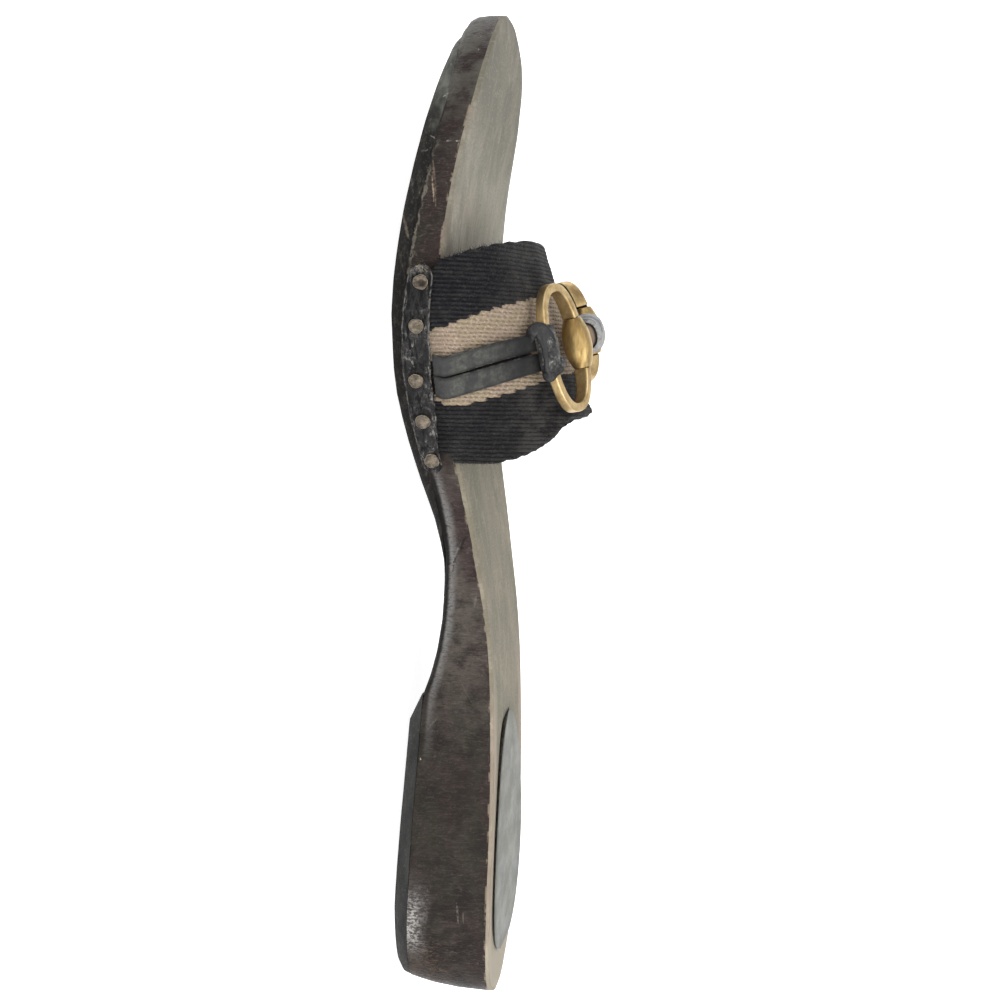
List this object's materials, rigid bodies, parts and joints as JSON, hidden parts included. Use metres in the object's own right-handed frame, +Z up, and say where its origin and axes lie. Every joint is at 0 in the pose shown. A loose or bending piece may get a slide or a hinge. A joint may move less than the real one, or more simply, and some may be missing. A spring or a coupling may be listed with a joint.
{
  "type": "wooden slide sandal",
  "caption": "Wooden-soled slide sandal with an arched webbing strap, tacked leather rands and a brass bit trim; rubber heel lift and forefoot tread.",
  "frame": {"origin": "centre of the bounding box's bottom face, on the floor under the arch", "axes": "+X towards the outer side of the right foot, +Y towards the toe, +Z up"},
  "size_m": [0.1036, 0.2504, 0.0477],
  "materials": {
    "stained_wood": "dark stained, satin, scuffed",
    "tread_rubber": "matt, worn rough under the ball",
    "footbed_suede": "matt padded footbed cover",
    "pad_leather": "smooth, matt",
    "striped_webbing": "ribbed webbing, one pale centre band",
    "rand_leather": "worn, semi-matt",
    "thong_leather": "suede-like, light scuffed edges",
    "keeper_leather": "smooth, faded",
    "aged_brass": "antique, brushed",
    "tack_metal": "dulled, worn"
  },
  "bodies": {
    "root": {"barrel_lateral": "aged_brass", "barrel_medial": "aged_brass", "bit_keeper": "keeper_leather", "bit_link": "aged_brass", "heel_lift": "tread_rubber", "heel_pad": "pad_leather", "hitch_lateral": "thong_leather", "hitch_medial": "thong_leather", "insole": "footbed_suede", "outsole_forefoot": "tread_rubber", "rand_lateral": "rand_leather", "rand_medial": "rand_leather", "ring_lateral": "aged_brass", "ring_medial": "aged_brass", "sole_wood": "stained_wood", "strap_web": "striped_webbing", "tack_lateral_1": "tack_metal", "tack_lateral_2": "tack_metal", "tack_lateral_3": "tack_metal", "tack_lateral_4": "tack_metal", "tack_lateral_5": "tack_metal", "tack_medial_1": "tack_metal", "tack_medial_2": "tack_metal", "tack_medial_3": "tack_metal", "tack_medial_4": "tack_metal", "tack_medial_5": "tack_metal", "thong_lateral_heel": "thong_leather", "thong_lateral_toe": "thong_leather", "thong_medial_heel": "thong_leather", "thong_medial_toe": "thong_leather"}
  },
  "joints": []
}
